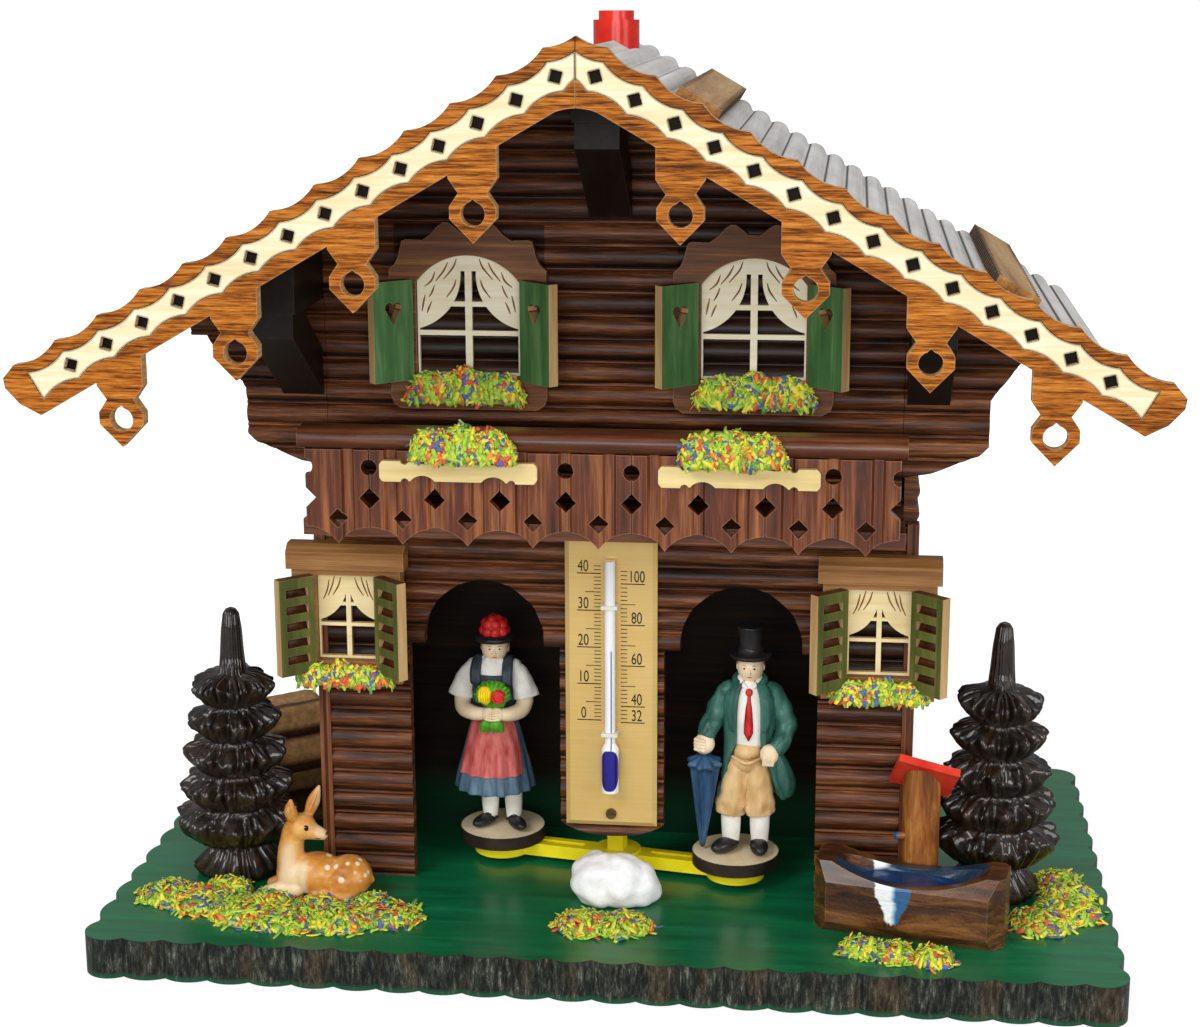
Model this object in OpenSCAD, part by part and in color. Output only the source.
// Chalet weather house: two figures on a beam swing in and out of twin doorways
// as a twisted gut cord answers the humidity; the chimney knob sets the cord.
// Millimetres, +Z up, front of the house towards -Y.

/* [Base] */
// Width of the base board
base_w = 222; // [212:1:236]
// Depth of the base board
base_d = 129; // [122:1:140]
// Thickness of the base board
base_t = 9; // [6:0.5:14]
// Scallops along the front and back edges
front_scallops = 24; // [16:1:32]
// Scallops along each side edge
side_scallops = 12; // [8:1:18]
// Depth of one scallop
scallop_depth = 1.5; // [0.8:0.1:2.5]

/* [House] */
// Outer width of the house
house_w = 133; // [130:1:138]
// Depth from the front wall face to the back wall face
house_d = 37; // [36:0.5:42]
// Distance from the front edge of the base to the front wall
wall_set_back = 40.8; // [39:0.2:43]
// Thickness of a wall board including its ribs
wall_t = 3.4; // [3:0.1:4]
// Height of one log rib
log_pitch = 5; // [4:0.1:6]
// How far a log rib stands out
rib_h = 1; // [0.6:0.1:1.3]
// Height of the lower storey
storey_h = 86; // [84:0.5:90]
// Thickness of the storey board
floor_t = 3.5; // [3:0.1:5]
// Width of a vertical corner strip
strip_w = 2.5; // [2:0.1:4]

/* [Doorways] */
// Width of the centre post
post_w = 23.2; // [21:0.2:25]
// Clear width between post and pillar
door_w = 33.9; // [32:0.1:36]
// Height where the arches spring
spring_h = 56; // [53:0.5:59]
// Radius of an arch
arch_r = 13.4; // [12:0.1:14.5]
// Straight rise below each arch
arch_rise = 1.4; // [0:0.1:3]
// Free height below the centre post
post_gap = 12; // [9:0.5:15]

/* [Roof] */
// Slope of the roof in degrees
roof_pitch = 30; // [28:0.5:32]
// Height of the ridge above the base board
ridge_h = 190; // [186:1:196]
// Half width of the roof boards
roof_half = 100; // [96:1:104]
// Depth of the roof boards
roof_d = 94; // [90:1:98]
// Solid thickness of a roof board below its slats
roof_t = 2; // [1.6:0.1:3]
// Width of one roof slat
slat_pitch = 4.8; // [4:0.1:6]
// How far a slat stands out
slat_h = 1; // [0.6:0.1:1.3]
// How far the slats lie below the crest line of the gable boards
roof_sink = 1.2; // [0.6:0.1:1.6]
// How far the gable boards stand in front of the base
gable_overhang = 17.7; // [15:0.1:20]
// Outer half width of the upper wings
wing_reach = 92.5; // [88:0.5:95]
// Height of the upper wings at their outer ends
wing_drop = 35.5; // [33:0.5:38]

/* [Gable boards] */
// Thickness of a gable board
gable_t = 3; // [2.5:0.1:4]
// Spacing of the diamonds along the slope
diamond_pitch = 8.4; // [8:0.05:8.6]
// Number of diamonds on one side
diamonds = 14; // [10:1:14]
// Thickness of the inlay strip
inlay_t = 1.4; // [1:0.1:1.8]
// Width of the inlay strip at its points
inlay_w = 6; // [5:0.1:6.6]
// Spacing of the pendants measured level
pendant_pitch = 23.15; // [22.6:0.05:23.4]
// Number of pendants on one side
pendants = 4; // [2:1:4]

/* [Balcony] */
// How far the balcony stands in front of the wall
balcony_reach = 24.3; // [22:0.1:26]
// Spacing of the balusters
baluster_pitch = 13.73; // [13.4:0.01:13.8]
// Number of balusters
balusters = 9; // [7:2:9]
// Height of the balustrade top above the base board
balustrade_top = 105; // [103:0.5:107]
// Height of the baluster tips above the base board
balustrade_foot = 84.9; // [83:0.1:86]
// Thickness of the balustrade
balustrade_t = 2.4; // [2:0.1:3]

/* [Windows] */
// Sideways place of the upper windows
upper_x = 30.5; // [29:0.1:32]
// Sill height of the upper windows
upper_sill = 117; // [115:0.5:119]
// Clear width of the upper windows
upper_w = 22.4; // [20:0.2:23]
// Clear height of the upper windows
upper_h = 26; // [24:0.5:27]
// Sideways place of the lower windows
lower_x = 58.4; // [57.4:0.1:59]
// Width of a lower window frame
lower_w = 26.4; // [25:0.2:27]
// Height of a lower window frame
lower_h = 31.6; // [30:0.2:33]
// Height of the lower window sill above the base board
lower_sill = 47.8; // [46:0.2:49]
// Opening angle of the shutters away from the wall
shutter_open = 42; // [25:1:60]

/* [Weather beam] */
// Distance from hub to figure
arm_r = 28; // [27:0.1:28.6]
// Turn of the beam at rest, man in front
rest_turn = 10.3; // [0:0.1:14]
// How far the hub stands behind the wall face
hub_set_back = 11.5; // [11:0.1:12]
// Free height below the beam
beam_gap = 1.3; // [0.8:0.1:2]
// Thickness of the beam
beam_t = 3; // [2.5:0.1:3.5]
// Radius of a figure stand
stand_r = 9.8; // [9:0.1:10]
// Thickness of a figure stand
stand_t = 3; // [2.5:0.1:3.5]
// Radius of the gut cord
gut_r = 0.5; // [0.3:0.05:0.7]

/* [Chimney] */
// Radius of the chimney
chimney_r = 4.9; // [4.5:0.1:5.3]
// Height of the chimney rim above the ridge
chimney_h = 1.6; // [1:0.1:5]
// Radius of the chimney cap
cap_r = 3.75; // [3.2:0.05:4.2]

/* [Thermometer] */
// Width of the thermometer plate
plate_w = 20.4; // [19:0.1:21]
// Height of the thermometer plate
plate_h = 70; // [64:0.5:70.5]
// Thickness of the thermometer plate
plate_t = 1.2; // [1:0.1:1.6]
// Radius of the glass tube
tube_r = 1.2; // [1:0.05:1.5]
// Radius of the bulb
bulb_r = 1.95; // [1.8:0.05:2.2]

/* [Figures] */
// Height of the woman and of the man above their stands
figure_h = 53; // [50:0.5:54]
// Length of the lying fawn
fawn_l = 26; // [23:0.5:27]

/* [Garden] */
// Height of the trees
tree_h = 63; // [58:1:68]
// Radius of the lowest tree tier
tree_r = 13.9; // [12:0.1:14]
// Length of the trough
trough_l = 41; // [38:0.5:43]
// Depth of the trough
trough_d = 15; // [13:0.5:16]
// Height of the trough
trough_h = 15.5; // [13:0.5:17]

/* [Hidden] */
$fn = 48;
// glue line between neighbouring pieces
fit = 0.1;
// running clearance of the chimney in the ridge and of the cord in its peg
run_fit = 0.08;
overall_d = base_d + gable_overhang;
gable_y = -overall_d / 2;
base_front = gable_y + gable_overhang;
base_back = overall_d / 2;
wall_y = base_front + wall_set_back;
wall_back = wall_y + wall_t;
house_back = wall_y + house_d;
inner_back = house_back - wall_t;
hub_y = wall_y + hub_set_back;
balcony_y = wall_y - balcony_reach;
half_house = house_w / 2;
half_wall = half_house - strip_w - fit;
half_inner = half_house - wall_t;
floor_z = base_t + storey_h;
loft_z = floor_z + floor_t;
ridge_z = base_t + ridge_h;
roof_y = gable_y + gable_t + fit;
roof_drop = (roof_sink + roof_t + slat_h) / cos(roof_pitch);
pillar_x = post_w / 2 + door_w;
door_x = post_w / 2 + door_w / 2;
gable_half = half_house - 4.1;
beam_z = base_t + beam_gap;
stand_z = beam_z + beam_t + fit;
figure_z = stand_z + stand_t + fit;
diamond_drop = 5.4;
diamond_z = ridge_z - diamond_drop;
inlay_end = (diamonds + 0.5) * diamond_pitch;
plate_y = wall_y - fit - plate_t;
tube_y = plate_y - bulb_r - fit;
plate_z = base_t + 15;
log_half = (log_pitch - 0.9) / 2;
log_r = (log_half * log_half + rib_h * rib_h) / (2 * rib_h);
slat_half = (slat_pitch - 0.5) / 2;
slat_r = (slat_half * slat_half + slat_h * slat_h) / (2 * slat_h);
trough_x = 66.7;
trough_turn = -11.4;
// free room between the trough, its post and the house wall
garden_gap = 0.35;
trough_post_x = 68.6;
trough_post_r = 4.1;
trough_post_h = 29;
trough_post_y = wall_y - trough_post_r - garden_gap;
trough_shift = (trough_post_x - trough_x) * sin(-trough_turn);
trough_y = trough_post_y - (trough_d / 2 + trough_post_r + garden_gap - trough_shift) / cos(trough_turn);
tree_left_x = -86.5;
tree_right_x = 85.5;
tree_left_y = base_front + 41;
tree_right_y = base_front + 47.3;

// Height of the roof underside at a distance x from the middle
function under_z(x) = ridge_z - roof_drop - x * tan(roof_pitch) - fit;

// Flat outline in X and Z made into a board from depth y to y + t
module board(y, t) {
    translate([0, y + t, 0])
        rotate([90, 0, 0])
            linear_extrude(t)
                children();
}

// Cross-section of a ribbed board between two heights, ribs facing the front
module rib_profile(z0, z1) {
    translate([rib_h, z0])
        square([wall_t - rib_h, z1 - z0]);
    intersection() {
        translate([0, z0])
            square([rib_h + 0.2, z1 - z0]);
        for (i = [floor(z0 / log_pitch) : ceil(z1 / log_pitch)]) {
            translate([log_r, (i + 0.5) * log_pitch])
                circle(r = log_r);
            translate([rib_h, i * log_pitch])
                circle(r = 0.42);
        }
    }
}

// Ribbed board standing on the XZ plane, from 0 to w along X
module ribbed(w, z0, z1) {
    rotate([90, 0, 90])
        linear_extrude(w)
            rib_profile(z0, z1);
}

module both_sides() {
    children();
    mirror([1, 0, 0])
        children();
}

// Base board with a scalloped edge
module base_plate() {
    front_pitch = base_w / front_scallops;
    side_pitch = base_d / side_scallops;
    front_r = (pow(front_pitch / 2, 2) + pow(scallop_depth, 2)) / (2 * scallop_depth);
    side_r = (pow(side_pitch / 2, 2) + pow(scallop_depth, 2)) / (2 * scallop_depth);
    color("seagreen")
        translate([0, (base_front + base_back) / 2, 0])
            linear_extrude(base_t)
                union() {
                    square([base_w - 2 * scallop_depth - 8, base_d - 2 * scallop_depth], center = true);
                    square([base_w - 2 * scallop_depth, base_d - 2 * scallop_depth - 8], center = true);
                    for (sx = [-1, 1], sy = [-1, 1])
                        translate([sx * (base_w / 2 - 5.6), sy * (base_d / 2 - 5.6)])
                            circle(r = 5.6);
                    for (i = [1 : front_scallops - 2], s = [-1, 1])
                        translate([(i + 0.5) * front_pitch - base_w / 2, s * (base_d / 2 - front_r)])
                            circle(r = front_r);
                    for (i = [1 : side_scallops - 2], s = [-1, 1])
                        translate([s * (base_w / 2 - side_r), (i + 0.5) * side_pitch - base_d / 2])
                            circle(r = side_r);
                }
}

// Lower storey
module pillar() {
    translate([pillar_x, wall_y, base_t])
        ribbed(half_wall - pillar_x, 0, spring_h - fit);
}

module left_pillar() {
    color("saddlebrown")
        mirror([1, 0, 0])
            pillar();
}

module right_pillar() {
    color("saddlebrown")
        pillar();
}

module lintel_board() {
    color("saddlebrown")
        difference() {
            translate([-half_wall, wall_y, base_t])
                ribbed(2 * half_wall, spring_h, storey_h - fit);
            for (s = [-1, 1])
                translate([s * door_x, wall_y - 1, base_t + spring_h + arch_rise]) {
                    rotate([-90, 0, 0])
                        cylinder(r = arch_r, h = wall_t + 2);
                    translate([-arch_r, 0, -arch_rise - 1])
                        cube([2 * arch_r, wall_t + 2, arch_rise + 1]);
                }
        }
}

module centre_post() {
    swell = 2.6;
    bow_r = (pow(post_w / 2, 2) + pow(swell, 2)) / (2 * swell);
    color("saddlebrown")
        intersection() {
            translate([-post_w / 2, wall_y, base_t])
                ribbed(post_w, post_gap, spring_h - fit);
            board(wall_y - 1, wall_t + 2)
                union() {
                    translate([0, base_t + post_gap + bow_r])
                        circle(r = bow_r);
                    translate([-post_w, base_t + post_gap + bow_r])
                        square([2 * post_w, spring_h]);
                }
        }
}

module corner_strips() {
    groove = strip_w * 0.3;
    color("sienna")
        both_sides()
            translate([half_wall + fit, wall_y, base_t])
                difference() {
                    cube([strip_w, wall_t + 0.6, storey_h - fit]);
                    translate([(strip_w - groove) / 2, -1, -1])
                        cube([groove, 1 + groove, storey_h + 2]);
                }
}

module side_wall() {
    color("saddlebrown")
        intersection() {
            translate([half_house, wall_back + 0.6 + fit, base_t])
                rotate([0, 0, 90])
                    ribbed(house_d - wall_t - 0.6 - fit, 0, ridge_h);
            board(wall_y, house_d)
                polygon([
                    [0, 0],
                    [half_house + 1, 0],
                    [half_house + 1, under_z(half_house + 1)],
                    [0, under_z(0)]
                ]);
        }
}

module left_side_wall() {
    mirror([1, 0, 0])
        side_wall();
}

module right_side_wall() {
    side_wall();
}

module back_wall() {
    w = half_inner - fit;
    color("saddlebrown")
        intersection() {
            translate([w, house_back, base_t])
                rotate([0, 0, 180])
                    ribbed(2 * w, 0, ridge_h);
            board(inner_back, wall_t)
                polygon([[-w, 0], [w, 0], [w, under_z(w)], [0, under_z(0)], [-w, under_z(w)]]);
        }
}

// Board between the storeys: ceiling of the weather chamber and balcony floor
module storey_board() {
    y0 = balcony_y + balustrade_t + fit;
    color("peru")
        difference() {
            translate([fit - half_inner, y0, floor_z])
                cube([2 * (half_inner - fit), inner_back - fit - y0, floor_t - fit]);
            translate([0, hub_y, floor_z - 1])
                cylinder(r = 2.2, h = floor_t + 2);
        }
}

// Upper storey
module gable_wall() {
    w = gable_half;
    color("saddlebrown")
        intersection() {
            translate([-w, wall_y, base_t])
                ribbed(2 * w, storey_h + floor_t, ridge_h);
            board(wall_y - 1, wall_t + 2)
                polygon([[-w, 0], [w, 0], [w, under_z(w)], [0, under_z(0)], [-w, under_z(w)]]);
        }
}

module wing() {
    x0 = gable_half + fit;
    x1 = wing_reach;
    drop = wing_drop;
    foot = under_z(x1) - drop;
    end_z = under_z(x1) - drop * 0.2;
    step_z = foot + drop * 0.48;
    color("saddlebrown")
        intersection() {
            translate([x0, wall_y, base_t])
                ribbed(x1 - x0, foot - base_t - 1, ridge_h);
            board(wall_y - 1, wall_t + 2)
                difference() {
                    polygon([
                        [x0, foot],
                        [x1 - 24, foot + drop * 0.03],
                        [x1 - 14, foot + drop * 0.14],
                        [x1 - 12, foot + drop * 0.2],
                        [x1 - 12, step_z],
                        [x1 - 3.5, end_z],
                        [x1, end_z],
                        [x1, under_z(x1)],
                        [x0, under_z(x0)]
                    ]);
                    translate([x1 - 3.5, step_z + 0.2])
                        circle(r = drop * 0.17);
                }
        }
}

module left_wing() {
    mirror([1, 0, 0])
        wing();
}

module right_wing() {
    wing();
}

// Roof
module slat_profile() {
    l = roof_half / cos(roof_pitch);
    translate([-10, -roof_t - slat_h])
        square([l + 10, roof_t]);
    intersection() {
        translate([-10, -slat_h - 0.2])
            square([l + 10, slat_h + 0.2]);
        for (i = [1 : floor(l / slat_pitch)])
            translate([(i + 0.5) * slat_pitch, -slat_r])
                circle(r = slat_r);
    }
}

module roof_panel() {
    notch_r = slat_pitch * 0.26;
    notches = floor(roof_half / cos(roof_pitch) / slat_pitch) - 1;
    color("lightgrey")
        difference() {
            board(roof_y, roof_d)
                intersection() {
                    translate([0, ridge_z])
                        rotate(-roof_pitch)
                            translate([0, -roof_sink])
                                slat_profile();
                    translate([fit / 2, 0])
                        square([2 * roof_half, ridge_z]);
                }
            translate([0, hub_y, ridge_z - 30])
                cylinder(r = chimney_r + run_fit, h = 60);
            translate([0, roof_y + roof_d, ridge_z])
                rotate([0, roof_pitch, 0])
                    for (i = [1 : notches])
                        translate([i * slat_pitch, 0.25, -roof_sink - 1.8 * slat_h])
                            cylinder(r = notch_r, h = 3 * slat_h, $fn = 24);
        }
}

module roof_panel_left() {
    mirror([1, 0, 0])
        roof_panel();
}

module roof_panel_right() {
    roof_panel();
}

// Notched battens lying on the slats of the right-hand slope
module batten(x) {
    w = 9;
    t = 2.4;
    l = roof_d - 4;
    notch = 3.4;
    translate([x, roof_y + 1.5, ridge_z - x * tan(roof_pitch)])
        rotate([0, roof_pitch, 0])
            translate([-w / 2, 0, fit - roof_sink])
                difference() {
                    cube([w, l, t]);
                    for (i = [1 : floor(l / notch) - 1], s = [0, 1])
                        translate([s * w, i * notch, -1])
                            cylinder(r = 1.05, h = t + 2, $fn = 24);
                }
}

module roof_battens() {
    color("sienna") {
        batten(roof_half * 0.22);
        batten(roof_half * 0.81);
    }
}

// Purlins and their braces in front of the upper wall
purlin_w = 10;
purlin_h = 10;
purlin_l = balcony_reach + 0.5;
purlin_x = half_house + 1;

module purlin(x) {
    top = under_z(abs(x) + purlin_w / 2);
    translate([x - purlin_w / 2, wall_y - purlin_l - fit, top - purlin_h])
        cube([purlin_w, purlin_l, purlin_h]);
}

module purlins() {
    color("dimgray") {
        purlin(0);
        purlin(purlin_x);
        purlin(-purlin_x);
    }
}

module brace(x) {
    top = under_z(abs(x) + purlin_w / 2) - purlin_h - fit;
    drop = 21;
    translate([x + (purlin_w - 1) / 2, 0, 0])
        rotate([0, -90, 0])
            linear_extrude(purlin_w - 1)
                polygon([
                    [top, wall_y - purlin_l],
                    [top, wall_y - purlin_l + 9],
                    [top - drop + 10, wall_y - fit],
                    [top - drop, wall_y - fit],
                    [top - 5, wall_y - purlin_l]
                ]);
}

module braces() {
    color("dimgray") {
        brace(0);
        brace(purlin_x);
        brace(-purlin_x);
    }
}

// Gable boards and their inlay, drawn for the right-hand slope
module right_half() {
    translate([fit / 2, 0])
        square([2 * roof_half, 2 * ridge_z]);
}

module on_slope() {
    intersection() {
        translate([0, diamond_z])
            rotate(-roof_pitch)
                children();
        right_half();
    }
}

module inlay_outline(grow) {
    sag = 1;
    r = (pow(diamond_pitch / 2, 2) + sag * sag) / (2 * sag);
    difference() {
        translate([-6, -inlay_w / 2 - grow])
            square([inlay_end + 6 + grow, inlay_w + 2 * grow]);
        for (i = [0 : diamonds], s = [-1, 1])
            translate([i * diamond_pitch, s * (inlay_w / 2 - sag + r)])
                circle(r = r - grow);
    }
}

module pendant_outline() {
    difference() {
        polygon([
            [0, 0], [4.4, 4.5], [4.4, 6.8], [2.7, 9.3], [4.6, 12], [4.6, 15.5],
            [-4.6, 21], [-4.6, 12], [-2.7, 9.3], [-4.4, 6.8], [-4.4, 4.5]
        ]);
        translate([0, 5.4])
            circle(r = 2.3);
        polygon([[-2.05, 6.4], [2.05, 6.4], [0, 8.2]]);
    }
}

module gable_outline() {
    above = 5.6;
    below = 5.4;
    bite = 1.2;
    bite_pitch = 10;
    first_bite = 3.6;
    bite_r = (bite_pitch * bite_pitch / 4 + bite * bite) / (2 * bite);
    end = inlay_end + 5.7;
    first = 19.3;
    crown_r = 11.1;
    crown_drop = 1.55;
    crown_w = 5.4;
    crown_z = diamond_z - below / cos(roof_pitch);
    intersection() {
        union() {
            translate([0, diamond_z])
                rotate(-roof_pitch)
                    difference() {
                        polygon([
                            [-8, -below], [end - 3.4, -below], [end - 0.9, -1.5], [end, above - 3],
                            [end - 0.7, above - 1.2], [end - 3, above - 0.4], [end - 4, above], [-8, above]
                        ]);
                        for (i = [-1 : floor((end - first_bite) / bite_pitch) - 1])
                            translate([first_bite + (i + 0.5) * bite_pitch, above - bite + bite_r])
                                circle(r = bite_r);
                    }
            difference() {
                translate([-crown_w, crown_z - 4])
                    square([2 * crown_w, 6]);
                translate([0, crown_z - crown_drop - crown_r])
                    circle(r = crown_r);
            }
        }
        right_half();
    }
    for (i = [0 : pendants - 1])
        translate([
            first + i * pendant_pitch,
            diamond_z - 21.45 - (first + i * pendant_pitch) * tan(roof_pitch)
        ])
            pendant_outline();
}

module gable_board() {
    color("peru")
        difference() {
            board(gable_y, gable_t)
                gable_outline();
            board(gable_y - 1, inlay_t + 1 + fit)
                on_slope()
                    inlay_outline(fit);
        }
}

module gable_inlay() {
    color("wheat")
        board(gable_y, inlay_t)
            on_slope()
                difference() {
                    inlay_outline(0);
                    for (i = [0 : diamonds - 1])
                        translate([(i + 0.5) * diamond_pitch, 0])
                            rotate(45)
                                square(2.2, center = true);
                }
}

module gable_board_left() {
    mirror([1, 0, 0])
        gable_board();
}

module gable_board_right() {
    gable_board();
}

module gable_inlay_left() {
    mirror([1, 0, 0])
        gable_inlay();
}

module gable_inlay_right() {
    gable_inlay();
}

// Chimney knob turning in the ridge, and the gut cord that hangs from it
chimney_foot = ridge_z - 14;
chimney_top = ridge_z + chimney_h;

module chimney() {
    color("red")
        translate([0, hub_y, 0])
            difference() {
                union() {
                    translate([0, 0, chimney_foot])
                        cylinder(r = chimney_r, h = chimney_top - chimney_foot);
                    translate([0, 0, chimney_top])
                        cylinder(r = cap_r, h = 1.9);
                }
                translate([0, 0, chimney_foot - 1])
                    cylinder(r = gut_r + run_fit, h = 7.5);
            }
}

peg_top = base_t + 22;

module gut_cord() {
    z0 = peg_top - 8;
    color("tan")
        translate([0, hub_y, z0])
            cylinder(r = gut_r, h = chimney_foot + 6 - z0);
}

// Thermometer on the centre post
module thermometer_plate() {
    half = plate_w / 2;
    chamfer = 1;
    color("gold")
        difference() {
            translate([0, plate_y, plate_z])
                linear_extrude(plate_h)
                    polygon([
                        [-half, plate_t / 2], [chamfer - half, 0], [half - chamfer, 0],
                        [half, plate_t / 2], [half, plate_t], [-half, plate_t]
                    ]);
            translate([-plate_w, plate_y, plate_z + chamfer])
                rotate([atan(plate_t / 2 / chamfer), 0, 0])
                    translate([0, -2 * plate_t, -2 * chamfer])
                        mirror([0, 0, 1])
                            translate([0, 0, -2 * chamfer])
                                cube([2 * plate_w, 2 * plate_t, 4]);
            translate([0, plate_y - 1, plate_z + 3])
                rotate([-90, 0, 0])
                    cylinder(r = 0.7, h = plate_t + 2, $fn = 24);
        }
}

module thermometer_tube() {
    color("white")
        translate([0, tube_y, plate_z + 9])
            difference() {
                union() {
                    cylinder(r = tube_r, h = 53);
                    cylinder(r = bulb_r, h = 10);
                    translate([0, 0, 10])
                        cylinder(r1 = bulb_r, r2 = tube_r - 0.05, h = 1.5);
                }
                translate([0, 0, 0.8])
                    cylinder(r = bulb_r - 0.45, h = 8.6);
                translate([0, 0, 9])
                    cylinder(r = 0.4, h = 42);
            }
}

module thermometer_fluid() {
    color("blue")
        translate([0, tube_y, plate_z + 9.85]) {
            cylinder(r = bulb_r - 0.5, h = 8.5);
            cylinder(r = 0.35, h = 32);
        }
}

module tube_clips() {
    y0 = tube_y - tube_r - 0.5;
    color("silver")
        for (z = [22.2, 51.4])
            translate([0, 0, plate_z + z])
                difference() {
                    translate([-tube_r - 0.6, y0, 0])
                        cube([2 * tube_r + 1.2, plate_y - fit / 2 - y0, 0.8]);
                    translate([0, tube_y, -1])
                        cylinder(r = tube_r + 0.05, h = 3);
                    translate([-tube_r - 0.05, tube_y, -1])
                        cube([2 * tube_r + 0.1, 10, 3]);
                }
}

module thermometer_screw() {
    color("silver")
        translate([0, plate_y, plate_z + 3])
            rotate([90, 0, 0])
                difference() {
                    union() {
                        translate([0, 0, -plate_t])
                            cylinder(r = 0.65, h = plate_t + 0.2, $fn = 24);
                        translate([0, 0, 0.05])
                            cylinder(r = 1.2, h = 0.7, $fn = 24);
                    }
                    translate([-2, -0.15, 0.45])
                        cube([4, 0.3, 1]);
                }
}

// Balcony
module balcony_rail() {
    r = 2.2;
    w = 2 * (half_inner - fit);
    color("sienna")
        translate([-w / 2, balcony_y, base_t + balustrade_top])
            rotate([90, 0, 90])
                linear_extrude(w) {
                    translate([1, fit])
                        square([balustrade_t + 1.6, 2 * r]);
                    translate([1, r + fit])
                        circle(r = r);
                }
}

// Grooved boards, pierced and scalloped along their foot, with a fine joint through each column of holes
module balustrade() {
    half = balusters * baluster_pitch / 2;
    height = balustrade_top - balustrade_foot;
    foot = base_t + balustrade_foot;
    sag = 3.6;
    r = (pow(baluster_pitch / 2, 2) + sag * sag) / (2 * sag);
    mid = (balusters - 1) / 2;
    groove_pitch = baluster_pitch * 2 / 3;
    groove_shift = 2.3;
    grooves = floor(half / groove_pitch);
    color("saddlebrown")
        difference() {
            translate([0, balcony_y, foot])
                linear_extrude(height)
                    difference() {
                        translate([-half, 0])
                            square([2 * half, balustrade_t]);
                        for (i = [-grooves : grooves])
                            translate([i * groove_pitch + groove_shift, 0])
                                polygon([[-1.85, -0.5], [1.85, -0.5], [0.85, 0.75], [-0.85, 0.75]]);
                        for (i = [-mid - 1 : mid])
                            translate([(i + 0.5) * baluster_pitch - 0.15, -0.5])
                                square([0.3, 1.55]);
                    }
            translate([0, balcony_y - 1, foot])
                for (i = [-mid - 1 : mid])
                    translate([(i + 0.5) * baluster_pitch, 0, 0])
                        rotate([-90, 0, 0]) {
                            translate([0, r - sag, 0])
                                cylinder(r = r, h = balustrade_t + 2);
                            translate([0, -16.4, 0])
                                cylinder(r = 1.7, h = balustrade_t + 2);
                            translate([0, -9.8, 0])
                                rotate(45)
                                    translate([-1.6, -1.6, 0])
                                        cube([3.2, 3.2, balustrade_t + 2]);
                        }
            translate([0, balcony_y - 1, foot + 5.4])
                for (i = [-mid : mid])
                    translate([i * baluster_pitch, 0, 0])
                        rotate([-90, 45, 0])
                            translate([-1.45, -1.45, 0])
                                cube([2.9, 2.9, balustrade_t + 2]);
        }
}

// Strip with a bead at each end and one in the middle, drawn in by arcs between them
module planter_strip() {
    l = 33;
    h = 4.4;
    bead = 5.2;
    color("wheat")
        translate([29, 0, base_t + balustrade_top - 4])
            board(balcony_y - 1.6 - fit, 1.6)
                difference() {
                    union() {
                        square([l - 2 * bead + 3, h - 0.4], center = true);
                        for (s = [-1, 1])
                            translate([s * (l - bead) / 2, 0])
                                intersection() {
                                    square([bead, h], center = true);
                                    circle(r = bead * 0.56);
                                }
                    }
                    for (s = [-1, 1]) {
                        translate([s * l * 0.225, -h / 2 - 1.9])
                            circle(r = 3.3);
                        translate([s * l * 0.225, h / 2 + 2.6])
                            circle(r = 3.1);
                        for (v = [-1, 1])
                            translate([s * (l / 2 - bead - 0.15), v * (h / 2 + 0.1)])
                                circle(r = 0.85, $fn = 24);
                    }
                }
}

module planter_strips() {
    both_sides()
        planter_strip();
}

module clump(l, d, h) {
    n = floor(l / 3);
    union() {
        translate([-l / 2, -d / 2, 0])
            cube([l, d, h * 0.6]);
        for (i = [0 : n - 1])
            translate([(i + 0.5) * l / n - l / 2, 0, 0])
                cylinder(r1 = d / 2, r2 = d / 3, h = h * (0.8 + 0.2 * (i % 2)), $fn = 24);
    }
}

module balcony_flowers() {
    color("yellowgreen")
        both_sides()
            translate([27, balcony_y - 3.5, base_t + balustrade_top - 1.4])
                clump(21, 4.4, 7.6);
}

// Upper windows
module arch_outline(w, h, rise) {
    r = (w * w / 4 + rise * rise) / (2 * rise);
    translate([-w / 2, 0])
        square([w, h - rise]);
    intersection() {
        translate([0, h - r])
            circle(r = r);
        translate([-w / 2, h - rise - 1])
            square([w, rise + 2]);
    }
}

upper_t = 2.4;

module upper_frame() {
    half = 17;
    foot = -7.2;
    shoulder = upper_h - 3.1;
    head = upper_h + 3.2;
    crest = upper_h + 7;
    right = [
        [half - 2.2, foot], [half - 0.6, foot + 1], [half, foot + 2.6], [half, shoulder],
        [half - 1.4, shoulder + 1.2], [half - 2.2, head - 3.4], [half - 2.6, head - 1.6],
        [half - 3, head - 0.2], [half - 3.8, head + 0.1], [9.5, head], [7.8, head + 1.2],
        [6.2, crest - 0.8], [5, crest], [3.9, crest - 0.1], [2.4, crest - 1.2], [1.2, crest - 2.2]
    ];
    left = [for (i = [len(right) - 1 : -1 : 0]) [-right[i][0], right[i][1]]];
    color("sienna")
        translate([upper_x, 0, base_t + upper_sill])
            board(wall_y - fit - upper_t, upper_t)
                difference() {
                    polygon(concat(right, left));
                    arch_outline(upper_w, upper_h, 5.7);
                }
}

module upper_window_left() {
    mirror([1, 0, 0])
        upper_frame();
}

module upper_window_right() {
    upper_frame();
}

// Curtain plate with two draped sides and glazing bars; drape is the [x, z, radius] of a curtain's edge
module curtain_outline(w, h, rise, drape, bar, bars) {
    rim = 0.4;
    difference() {
        arch_outline(w, h, rise);
        difference() {
            translate([rim - w / 2, 0.6])
                square([w - 2 * rim, drape[1] + 0.1]);
            for (s = [-1, 1])
                translate([s * drape[0], drape[1]])
                    circle(r = drape[2]);
            translate([-bar / 2, 0])
                square([bar, h]);
            for (z = bars)
                translate([-w / 2, z])
                    square([w, bar * 0.72]);
        }
    }
}

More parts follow.
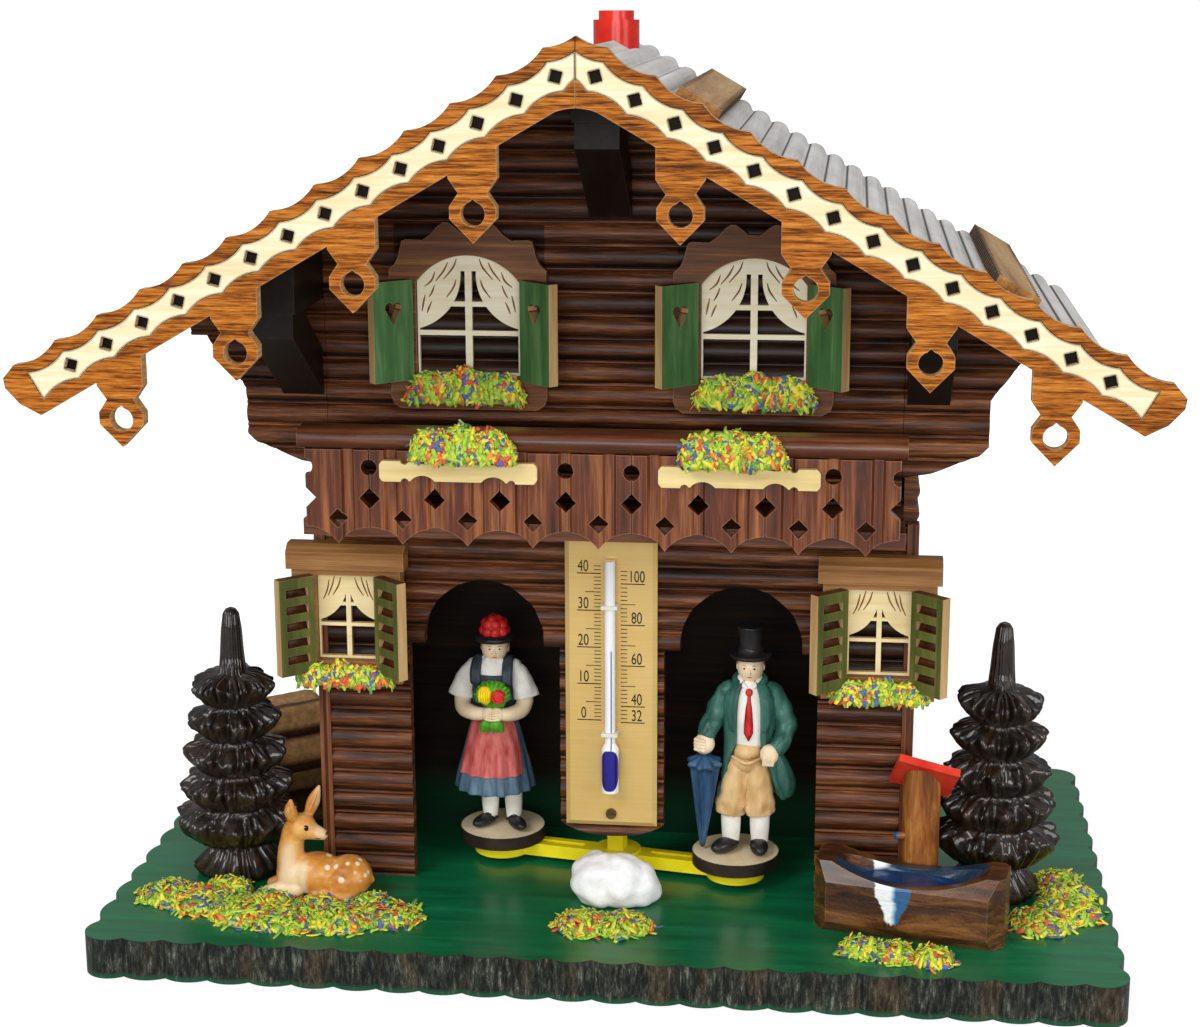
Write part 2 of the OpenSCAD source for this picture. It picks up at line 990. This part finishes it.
module upper_curtains() {
    color("cornsilk")
        both_sides()
            translate([upper_x, 0, base_t + upper_sill + fit])
                board(wall_y - fit - 1.2, 1.2)
                    curtain_outline(
                        upper_w - 2 * fit, upper_h - 2 * fit, 5.6,
                        [upper_w * 0.61, upper_h * 0.835, upper_w * 0.536],
                        1.5, [upper_h * 0.33, upper_h * 0.57]
                    );
}

leaf_t = 2.4;
leaf_set = leaf_t * cos(shutter_open);

// Shutter leaf hinged at the origin, spread towards +X and turned out to the front
module leaf(w, h) {
    rotate([0, 0, -shutter_open])
        translate([0, leaf_t, 0])
            rotate([90, 0, 0])
                linear_extrude(leaf_t)
                    difference() {
                        square([w, h]);
                        children();
                    }
}

module heart(r) {
    for (k = [-1, 1])
        translate([k * r * 0.9, 0])
            circle(r = r);
    polygon([[-r * 1.82, -r * 0.3], [r * 1.82, -r * 0.3], [0, -r * 3.6]]);
}

module upper_shutters() {
    w = 9.6;
    h = 21.6;
    color("seagreen")
        both_sides()
            translate([upper_x, wall_y - 2 * fit - upper_t - leaf_set, base_t + upper_sill - 0.6])
                both_sides()
                    translate([upper_w / 2 + 0.3, 0, 0])
                        leaf(w, h)
                            translate([w / 2, h * 0.74])
                                heart(1.05);
}

module upper_flowers() {
    color("yellowgreen")
        both_sides()
            translate([upper_x, wall_y - upper_t - 2.4, base_t + upper_sill - 5.5])
                clump(21, 4, 7.5);
}

// Lower windows
lower_t = 4.6;
light_w = 13.7;
light_h = 19.6;
light_foot = 5;

module lower_frame() {
    header_h = 5.5;
    header_y = wall_y - fit - lower_t - 1;
    header_t = lower_t + 0.7;
    color("peru")
        translate([lower_x, 0, base_t + lower_sill]) {
            board(wall_y - fit - lower_t, lower_t)
                difference() {
                    translate([-lower_w / 2 + 1, 0])
                        square([lower_w - 2, lower_h - 2]);
                    translate([-light_w / 2, light_foot])
                        square([light_w, light_h]);
                }
            translate([-lower_w / 2, header_y, lower_h - header_h])
                rotate([90, 0, 90])
                    linear_extrude(lower_w)
                        polygon([
                            [0, 0], [header_t, 0], [header_t, header_h],
                            [2, header_h], [0, header_h - 1.6]
                        ]);
        }
}

module lower_window_left() {
    mirror([1, 0, 0])
        lower_frame();
}

module lower_window_right() {
    lower_frame();
}

module lower_curtains() {
    color("cornsilk")
        both_sides()
            translate([lower_x, 0, base_t + lower_sill + light_foot + fit])
                board(wall_y - fit - 2.6, 1.2)
                    curtain_outline(
                        light_w - 2 * fit, light_h - 2 * fit, 0.4,
                        [light_w * 0.63, light_h * 0.86, light_w * 0.606],
                        1.1, [light_h * 0.38, light_h * 0.62]
                    );
}

module lower_shutters() {
    w = 8.6;
    h = 22;
    slot = h / 11.6;
    color("seagreen")
        both_sides()
            translate([lower_x, wall_y - 2 * fit - lower_t - leaf_set, base_t + lower_sill + 3])
                both_sides()
                    translate([light_w / 2 - 0.2, 0, 0])
                        leaf(w, h)
                            for (i = [0 : 4])
                                translate([1.6, 2.6 + i * 2 * slot])
                                    square([w - 3.2, slot]);
}

module lower_flowers() {
    color("yellowgreen")
        both_sides()
            translate([lower_x, wall_y - lower_t - 2.4, base_t + lower_sill - 2])
                clump(22, 4, 4.8);
}

// Weather beam with its two stands and figures
module at_figure(s) {
    translate([0, hub_y, 0])
        rotate([0, 0, -rest_turn])
            translate([s * arm_r, 0, 0])
                children();
}

module beam() {
    arm_w = 5;
    peg_w = 3.7;
    color("yellow")
        translate([0, hub_y, beam_z])
            rotate([0, 0, -rest_turn])
                difference() {
                    union() {
                        translate([-arm_r, -arm_w / 2, 0])
                            cube([2 * arm_r, arm_w, beam_t]);
                        for (s = [-1, 1])
                            translate([s * arm_r, 0, 0])
                                cylinder(r = 6.6, h = beam_t);
                        cylinder(r = 5.4, h = beam_t + 0.4);
                        translate([-peg_w / 2, -peg_w / 2, 0])
                            cube([peg_w, peg_w, peg_top - beam_z]);
                    }
                    for (s = [-1, 1])
                        translate([s * arm_r / 2 - 6, -0.8, beam_t - 0.8])
                            cube([12, 1.6, 2]);
                    translate([0, 0, peg_top - beam_z - 9])
                        cylinder(r = gut_r + run_fit, h = 10);
                }
}

module stand() {
    cylinder(r = stand_r, h = stand_t);
}

module woman_stand() {
    color("tan")
        at_figure(-1)
            translate([0, 0, stand_z])
                stand();
}

module man_stand() {
    color("tan")
        at_figure(1)
            translate([0, 0, stand_z])
                stand();
}

// Stands its children on point a, their Z axis aimed at point b
module aimed(a, b) {
    d = b - a;
    translate(a)
        rotate([0, acos(d[2] / norm(d)), atan2(d[1], d[0])])
            children();
}

// Round bar from point a to point b, its radius going from ra to rb
module limb(a, b, ra, rb) {
    aimed(a, b)
        cylinder(r1 = ra, r2 = rb, h = norm(b - a));
}

module ball(p, r) {
    translate(p)
        sphere(r = r);
}

// Round body from its [radius, height] points
module turned(points) {
    last = len(points) - 1;
    rotate_extrude()
        polygon(concat([[0, points[0][1]]], points, [[0, points[last][1]]]));
}

// Figure drawn 53 high on its stand, facing the front, with flat soles
module on_stand(s) {
    k = figure_h / 53;
    at_figure(s)
        rotate([0, 0, rest_turn])
            translate([0, 0, figure_z])
                scale(k)
                    intersection() {
                        union()
                            children();
                        translate([-30, -30, 0])
                            cube([60, 60, 60]);
                    }
}

module woman_figure() {
    lean = -1.6;
    color("firebrick")
        on_stand(-1, $fn = 28)
            translate([lean, 0, 0]) {
                for (s = [-1, 1]) {
                    x = 1.6 + s * 2.7;
                    limb([x, 0.4, 0.8], [x * 0.9, 0, 11], 1.7, 2.1);
                    limb([x, 1.3, 1], [x + s * 0.9, -3.9, 0.9], 1.25, 1.1);
                    ball([x + s * 0.9, -3.9, 1], 1.4);
                    ball([s * 4.6, 0.2, 38.3], 2.7);
                    limb([s * 4.6, 0.2, 38.6], [s * 7, -0.4, 33.4], 2.2, 2.9);
                    ball([s * 7.2, -0.4, 32.6], 3.3);
                    limb([s * 7.2, -0.9, 31], [s * 1.4, -6.2, 28], 2, 1.6);
                    ball([s * 0.9, -6.4, 27.8], 1.9);
                }
                turned([
                    [9.2, 8.2], [9.5, 9], [7.6, 17.5], [5.6, 25.2], [4.8, 26.6],
                    [5.1, 30], [5.3, 35.5], [4.6, 39], [2.4, 41.2], [1.9, 43]
                ]);
                ball([0, -5.4, 33.2], 3.8);
                limb([0, -6.2, 31], [0, -6.6, 24.6], 1.6, 2.2);
                ball([0.3, -0.5, 44], 3.6);
                translate([0.3, 0, 0])
                    turned([
                        [4.9, 46.3], [5, 46.8], [4.9, 47.3], [3.6, 47.4], [3.5, 50], [2.8, 52.2], [1.2, 53]
                    ]);
            }
}

module man_figure() {
    lean = 2.8;
    color("darkslategray")
        on_stand(1, $fn = 28)
            translate([lean, 0, 0]) {
                for (s = [-1, 1]) {
                    x = -0.7 + s * 3.2;
                    limb([x, 1.2, 1.3], [x + s * 0.9, -4.4, 1.1], 1.6, 1.35);
                    ball([x + s * 0.9, -4.4, 1.1], 1.6);
                    limb([x, 0.2, 0.9], [x * 0.95, 0, 11], 2, 2.3);
                    limb([x, 0, 9.4], [x * 0.6, 0, 21], 3.4, 3.7);
                }
                turned([[4.3, 18.5], [4.9, 22], [4.6, 30]]);
                difference() {
                    turned([
                        [6.6, 12.4], [6.4, 14], [5.5, 24], [5.2, 27.5],
                        [5.9, 34], [5.6, 38.6], [3, 41.2], [1.9, 43]
                    ]);
                    translate([-4.6, -12, 5])
                        cube([8.4, 9.4, 21.5]);
                }
                limb([4.6, 0.8, 25], [7.9, 1.2, 14.6], 2.2, 2.3);
                ball([7.9, 1.2, 14.4], 2.6);
                for (s = [-1, 1])
                    ball([s * 5.8, 0.2, 37.8], 2.9);
                limb([5.9, 0.2, 37.6], [8.4, 0.3, 30.8], 2.5, 2);
                ball([8.5, 0.1, 30.4], 2.35);
                limb([8.3, -0.1, 30.4], [4.9, -4.5, 24.2], 2, 1.6);
                ball([4.6, -4.7, 23.6], 1.95);
                limb([-5.9, 0.2, 37.6], [-7.9, -0.3, 31.2], 2.5, 2);
                ball([-8, -0.4, 30.8], 2.35);
                limb([-8.1, -0.6, 30.6], [-9.7, -3.1, 26.2], 2, 1.7);
                ball([-9.8, -3.4, 25.4], 2.1);
                ball([0.2, -0.4, 44], 3.6);
                translate([0.2, 0, 0])
                    turned([[5.1, 46.2], [5.2, 46.7], [5.1, 47.2], [3.1, 47.3], [3, 50], [3.3, 53]]);
            }
}

module umbrella() {
    tip = [-7.4, -1, 0.2];
    top = [-6.9, -3.3, 20.6];
    l = norm(top - tip);
    color("steelblue")
        on_stand(1)
            aimed(tip, top)
                turned([[0.5, 0], [3.3, l], [3, l + 0.6], [1, l + 1.7], [0.6, l + 1.8], [0.6, l + 2.4]]);
}

// Garden pieces on the base board
module tree() {
    tiers = 5;
    notches = 9;
    core = tree_r * 0.38;
    root_h = tree_h * 0.14;
    spire_h = tree_h * 0.24;
    rise = (tree_h - root_h - spire_h) / tiers;
    spire_z = tree_h - spire_h;
    shrink = tree_r * 0.33 / (tiers - 1);
    color("saddlebrown")
        difference() {
            rotate_extrude()
                polygon(concat(
                    [[0, 0], [tree_r * 0.7, 0], [tree_r * 0.78, rise * 0.2], [core + 0.6, root_h]],
                    [for (i = [0 : tiers - 1], p = [[core, 0], [-0.7, 0.1], [0, 0.27], [-1.3, 0.5], [core + 0.5, 0.97]])
                        [(p[0] > 0.5 ? p[0] : tree_r - i * shrink + p[0]), root_h + (i + p[1]) * rise]],
                    [[3, spire_z], [2.5, spire_z + spire_h * 0.6], [1.9, tree_h - 1.6], [1.1, tree_h - 0.4],
                        [0, tree_h]]
                ));
            for (i = [0 : tiers - 1], k = [0 : notches - 1])
                rotate([0, 0, (k + i * 0.37) * 360 / notches])
                    translate([tree_r - i * shrink + 0.7, 0, root_h + i * rise - 0.5])
                        cylinder(r = 1.7, h = rise * 0.75, $fn = 24);
        }
}

module tree_left() {
    translate([tree_left_x, tree_left_y, base_t + fit])
        tree();
}

module tree_right() {
    translate([tree_right_x, tree_right_y, base_t + fit])
        tree();
}

// Lying fawn, forelegs to the left, its raised head looking to the right
module fawn() {
    k = fawn_l / 26;
    color("chocolate")
        translate([-65, base_front + 28.2, base_t + fit])
            scale(k)
                intersection() {
                    union() {
                        ball([0, 0, 5.2], 5.2);
                        limb([0, 0, 5.2], [7.6, 0, 4.9], 5.2, 4.9);
                        ball([7.6, 0, 4.9], 4.9);
                        limb([0, 0, 5.2], [-5.2, 0, 5], 5.2, 4.2);
                        ball([-5.2, 0, 5], 4.2);
                        limb([-5.5, 0, 6], [-5.1, -0.3, 15.6], 3.8, 2.7);
                        ball([-5.1, -0.3, 15.6], 2.7);
                        ball([-3.2, -0.4, 16.4], 3.3);
                        limb([-3, -0.4, 16.2], [1.4, -0.9, 15.1], 2.9, 1.6);
                        ball([1.4, -0.9, 15.1], 1.6);
                        limb([-4.2, -1.8, 18.4], [-4.7, -2.8, 24], 1.6, 0.6);
                        limb([-2.2, 1.4, 18.6], [0.6, 2.2, 25.8], 1.6, 0.6);
                        for (y = [-2.3, 2.1]) {
                            limb([-5, y, 2.2], [-11.4, y, 1.8], 2.2, 1.5);
                            ball([-11.4, y, 1.8], 1.5);
                        }
                        limb([7, -3.4, 2.8], [0.6, -4.2, 1.4], 2.6, 1.3);
                        ball([0.6, -4.2, 1.4], 1.3);
                    }
                    translate([-20, -20, 0])
                        cube(40);
                }
}

module white_stone() {
    color("white")
        translate([1.6, base_front + 32.6, base_t + fit])
            intersection() {
                hull() {
                    translate([-3.9, 0, 4.9])
                        sphere(r = 6.6, $fn = 32);
                    translate([0.6, -0.6, 4.6])
                        sphere(r = 6.3, $fn = 32);
                    translate([4.9, 0.4, 3.4])
                        sphere(r = 5.5, $fn = 32);
                }
                translate([-20, -20, 0])
                    cube(40);
            }
}

module in_trough() {
    translate([trough_x, trough_y, base_t + fit])
        rotate([0, 0, trough_turn])
            children();
}

// Saddle-shaped top, and below it the scoop of the pocket on a ring
saddle = 3.5;
pocket_depth = 4.5;
pocket_r = trough_d * 0.305;
pocket_ring = trough_l * 0.366;

module pocket(shrink) {
    translate([0, 0, trough_h - saddle - pocket_depth + pocket_ring + pocket_r])
        rotate([90, 0, 0])
            rotate_extrude()
                translate([pocket_ring, 0])
                    circle(r = pocket_r - shrink);
}

// Hewn log trough with chamfered ends
module trough() {
    c = 4;
    l = trough_l / 2;
    d = trough_d / 2;
    h = trough_h;
    saddle_l = l - c;
    saddle_r = (saddle_l * saddle_l + saddle * saddle) / (2 * saddle);
    color("sienna")
        in_trough()
            difference() {
                intersection() {
                    linear_extrude(h)
                        polygon([
                            [-l, -d + c], [-l + c, -d - 1], [l - c, -d - 1], [l, -d + c],
                            [l, d - c], [l - c, d + 1], [-l + c, d + 1], [-l, d - c]
                        ]);
                    translate([-l - 1, 0, 0])
                        rotate([90, 0, 90])
                            linear_extrude(2 * l + 2)
                                polygon([
                                    [-d + 2, -1], [d - 2, -1], [d, 2.5], [d, h - c],
                                    [d - c + 1, h + 1], [-d + c - 1, h + 1], [-d, h - c], [-d, 2.5]
                                ]);
                }
                translate([0, -d - 2, h - saddle + saddle_r])
                    rotate([-90, 0, 0])
                        cylinder(r = saddle_r, h = 2 * d + 4);
                pocket(0);
            }
}

module trough_water() {
    color("steelblue")
        in_trough()
            intersection() {
                pocket(fit);
                translate([-trough_l / 2, -trough_d, 0])
                    cube([trough_l, 2 * trough_d, trough_h - saddle - 0.9]);
            }
}

// Slanted seat of the red board on the post
module on_post() {
    translate([trough_post_x, trough_post_y, base_t + fit])
        translate([0, 0, trough_post_h])
            rotate([0, 14, 0])
                rotate([-45, 0, 0])
                    children();
}

module trough_post() {
    color("sienna")
        difference() {
            translate([trough_post_x, trough_post_y, base_t + fit]) {
                cylinder(r = trough_post_r, h = trough_post_h + 5.2);
                limb([-2, -1, 17.5], [-5.6, -2.6, 17.5], 0.9, 0.8);
            }
            on_post()
                translate([-20, -20, 0])
                    cube([40, 40, 20]);
        }
}

module trough_roof() {
    w = 13.4;
    front = 7.4;
    back = 3.8;
    color("red")
        on_post()
            translate([-w / 2, -front, fit])
                cube([w, front + back, 1.8]);
}

// Split logs stacked slantwise beside the house
module wood_pile() {
    r = 4.4;
    l = 28;
    step = 2 * r - 0.5;
    color("burlywood")
        translate([tree_left_x, tree_left_y, base_t + fit])
            rotate([0, 0, 38])
                translate([6, tree_r + garden_gap + r, 0])
                    for (row = [0 : 3], i = [0 : 2 - row % 2])
                        translate([0, (i + (row % 2) / 2) * step, r - 0.3 + row * step * 0.84])
                            rotate([0, 90, 0])
                                intersection() {
                                    cylinder(r = r, h = l);
                                    translate([-r, -r, -1])
                                        cube([2 * r - 0.3, 2 * r, l + 2]);
                                }
}

module patch(x, y, r) {
    translate([x, base_front + y, base_t + fit])
        cylinder(r1 = r, r2 = r * 0.6, h = 2.2);
}

// Heaps of coloured shavings
module flower_beds() {
    color("yellowgreen") {
        patch(-98, 24.5, 7);
        patch(-90, 22, 8);
        patch(-79, 17, 8);
        patch(-68, 14.5, 8);
        patch(-57, 15.5, 8);
        patch(-47, 18, 7);
        patch(-3.6, 18.5, 6.4);
        patch(5, 18.5, 6.4);
        patch(56, 12.2, 4.6);
        patch(63, 10.4, 4.8);
        patch(71, 9, 4.6);
        patch(95, 30, 7.5);
        patch(101, 36, 7.5);
    }
}

base_plate();
left_pillar();
right_pillar();
lintel_board();
centre_post();
corner_strips();
left_side_wall();
right_side_wall();
back_wall();
storey_board();
gable_wall();
left_wing();
right_wing();
roof_panel_left();
roof_panel_right();
roof_battens();
purlins();
braces();
gable_board_left();
gable_board_right();
gable_inlay_left();
gable_inlay_right();
chimney();
gut_cord();
thermometer_plate();
thermometer_tube();
thermometer_fluid();
tube_clips();
thermometer_screw();
balcony_rail();
balustrade();
planter_strips();
balcony_flowers();
upper_window_left();
upper_window_right();
upper_curtains();
upper_shutters();
lower_window_left();
lower_window_right();
lower_curtains();
lower_shutters();
upper_flowers();
lower_flowers();
beam();
woman_stand();
man_stand();
woman_figure();
man_figure();
umbrella();
tree_left();
tree_right();
fawn();
white_stone();
trough();
trough_water();
trough_post();
trough_roof();
wood_pile();
flower_beds();
